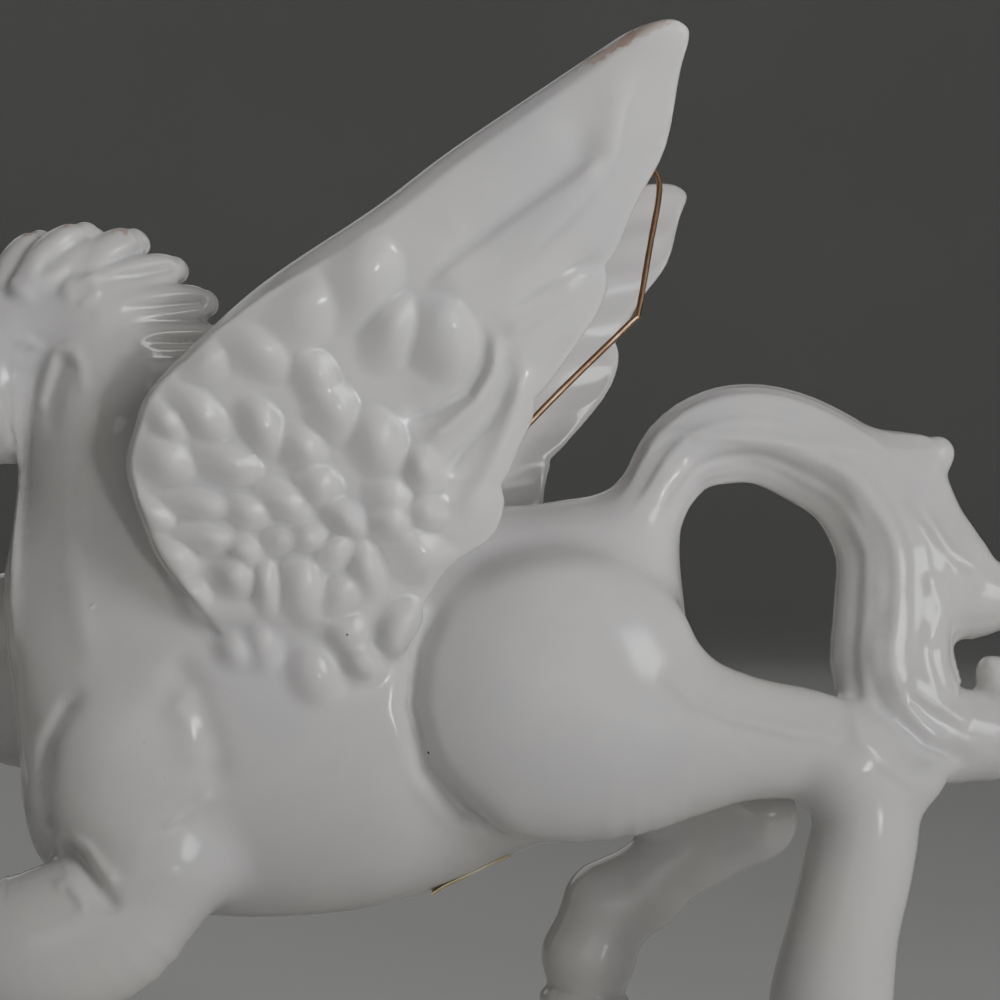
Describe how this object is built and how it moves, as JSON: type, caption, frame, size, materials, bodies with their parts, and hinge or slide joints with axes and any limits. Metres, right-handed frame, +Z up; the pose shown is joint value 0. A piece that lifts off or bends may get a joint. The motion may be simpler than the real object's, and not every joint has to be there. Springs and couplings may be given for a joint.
{
  "type": "winged horse figurine",
  "caption": "Glossy white cast winged horse leaping off an oval plinth, with arched tail, petal mane, feathered wings and a copper hanging wire.",
  "frame": {"origin": "centre of the plinth's flat underside", "axes": "+Z up; the horse faces -X, its tail is at +X, its left side faces -Y"},
  "size_m": [0.2008, 0.1086, 0.175],
  "materials": {
    "glaze": "clear glossy glaze over a white body",
    "copper": "drawn copper wire, dulled",
    "label_paper": "yellowed blank paper"
  },
  "bodies": {
    "figure": {"base": "glaze", "torso": "glaze", "neck": "glaze", "head": "glaze", "left_ear": "glaze", "right_ear": "glaze", "forelock": "glaze", "mane": "glaze", "left_wing": "glaze", "right_wing": "glaze", "left_foreleg": "glaze", "right_foreleg": "glaze", "left_hind_leg": "glaze", "right_hind_leg": "glaze", "tail": "glaze", "wire_staple": "copper", "belly_label": "label_paper"},
    "hanger": {"hanging_wire": "copper"}
  },
  "joints": [
    {"name": "hanger_swing", "type": "hinge", "parent": "figure", "child": "hanger", "pos_m": [-0.005, 0, 0.11381], "axis": [0, 1, 0], "range_deg": [-60, 30]}
  ]
}
